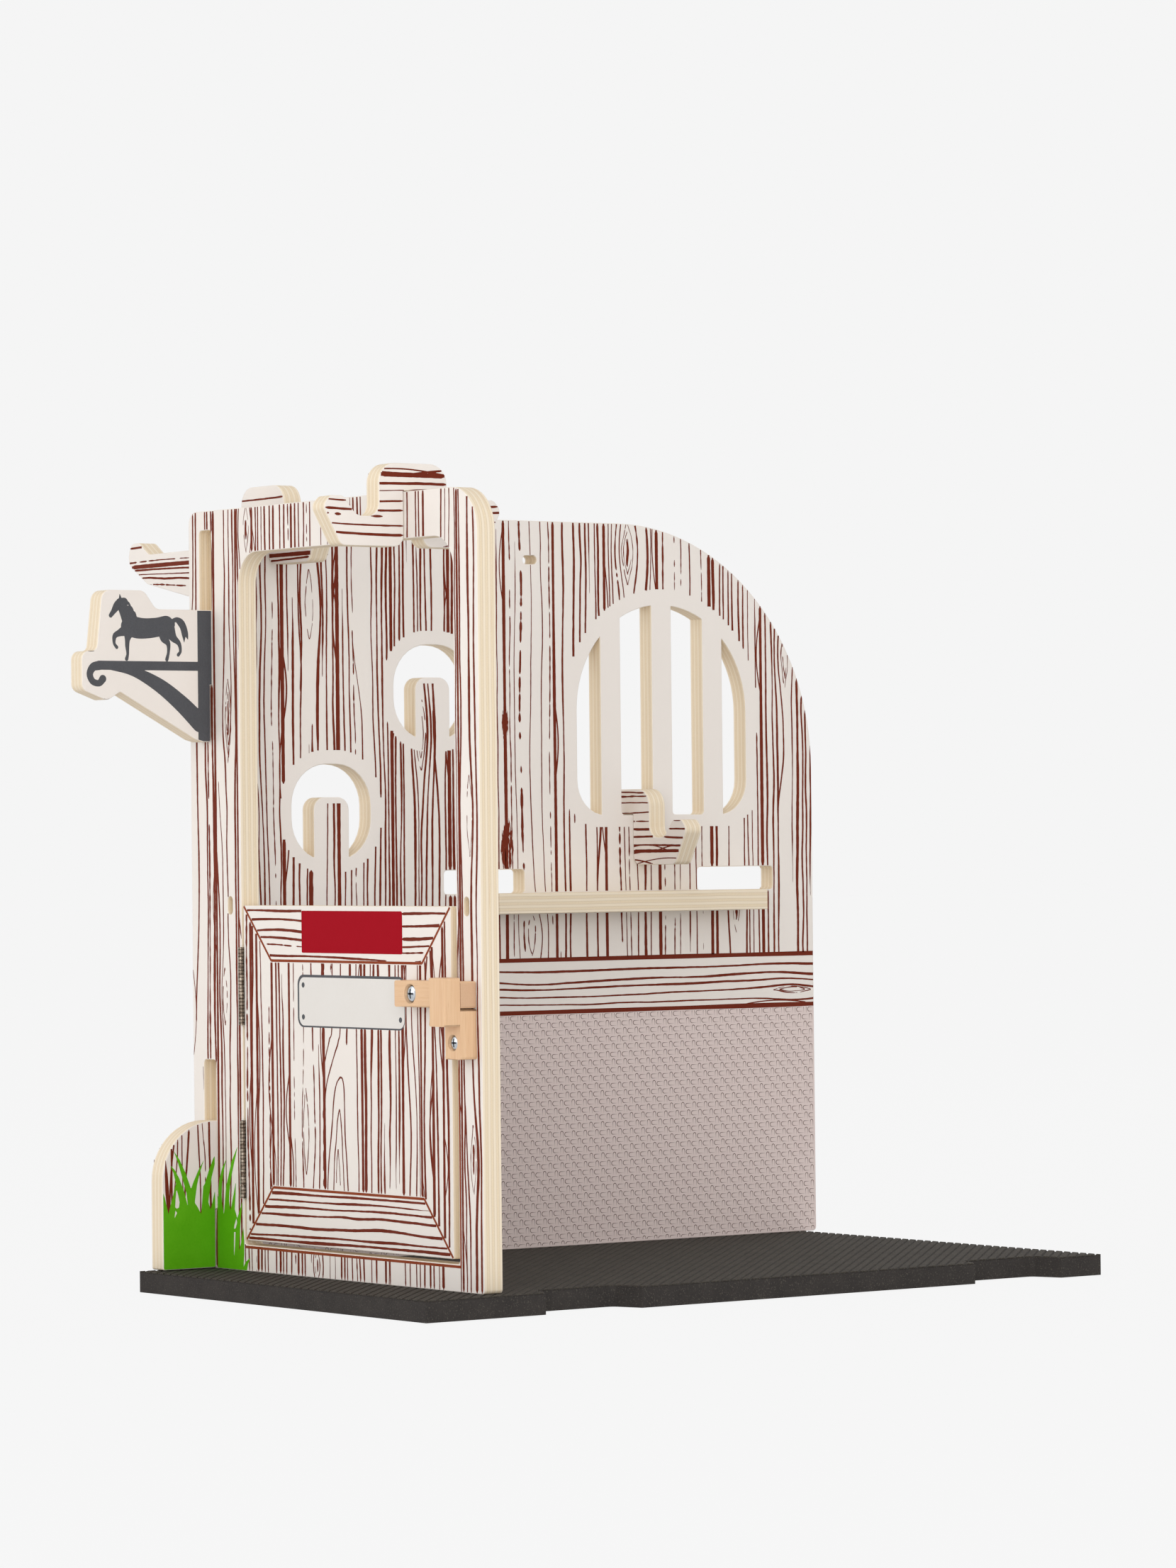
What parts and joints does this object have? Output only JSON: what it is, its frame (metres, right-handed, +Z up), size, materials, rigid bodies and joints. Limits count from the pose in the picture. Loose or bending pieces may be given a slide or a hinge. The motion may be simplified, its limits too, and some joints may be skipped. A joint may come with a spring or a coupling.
{
  "type": "toy horse stable",
  "caption": "Corner toy horse stable of painted plywood: framed half door with drop latch, barred window wall, lift-off hooks, saddle rack and foam floor mat",
  "frame": {"origin": "middle of the floor mat's underside, on the surface it stands on", "axes": "+X to the right along the front panel, +Y from the front panel to the back of the stall, +Z up"},
  "size_m": [0.3553, 0.4383, 0.3844],
  "materials": {
    "printed_ply": "off-white paint with printed red-brown grain lines on the faces, bare clear-coated plywood edges",
    "bare_ply": "bare plywood, sanded",
    "beech": "solid beech, sanded, clear coat",
    "foam": "matte ribbed foam",
    "aged_brass": "antique plated",
    "zinc_steel": "bright zinc"
  },
  "bodies": {
    "frame": {"floor_mat": "foam", "front_panel": "printed_ply", "side_wall": "printed_ply", "shelf": "bare_ply", "shelf_dowels": "beech", "upper_frame_leaf": "aged_brass", "lower_frame_leaf": "aged_brass", "upper_hinge_pin": "aged_brass", "lower_hinge_pin": "aged_brass", "frame_leaf_screws": "zinc_steel", "latch_keeper": "beech", "keeper_screw": "zinc_steel"},
    "door_leaf": {"door": "printed_ply", "upper_door_leaf": "aged_brass", "lower_door_leaf": "aged_brass", "door_leaf_screws": "zinc_steel", "latch_screw": "zinc_steel"},
    "latch": {"latch_bar": "beech"},
    "bar_hook": {"bar_hook": "printed_ply"},
    "saddle_rack": {"saddle_rack": "printed_ply"},
    "window_hook": {"window_hook": "printed_ply"}
  },
  "joints": [
    {"name": "door_swing", "type": "hinge", "parent": "frame", "child": "door_leaf", "pos_m": [-0.0842, -0.1618, 0.1038], "axis": [0, 0, -1], "range_deg": [0, 120]},
    {"name": "latch_lift", "type": "hinge", "parent": "door_leaf", "child": "latch", "pos_m": [0.0673, -0.1651, 0.1437], "axis": [0, -1, 0], "range_deg": [0, 180]},
    {"name": "bar_hook_lift", "type": "slide", "parent": "frame", "child": "bar_hook", "axis": [0, 0, 1], "range_m": [0, 0.032]},
    {"name": "saddle_rack_lift", "type": "slide", "parent": "frame", "child": "saddle_rack", "axis": [0, 0, 1], "range_m": [0, 0.056]},
    {"name": "window_hook_lift", "type": "slide", "parent": "frame", "child": "window_hook", "axis": [0, 0, 1], "range_m": [0, 0.03]}
  ]
}
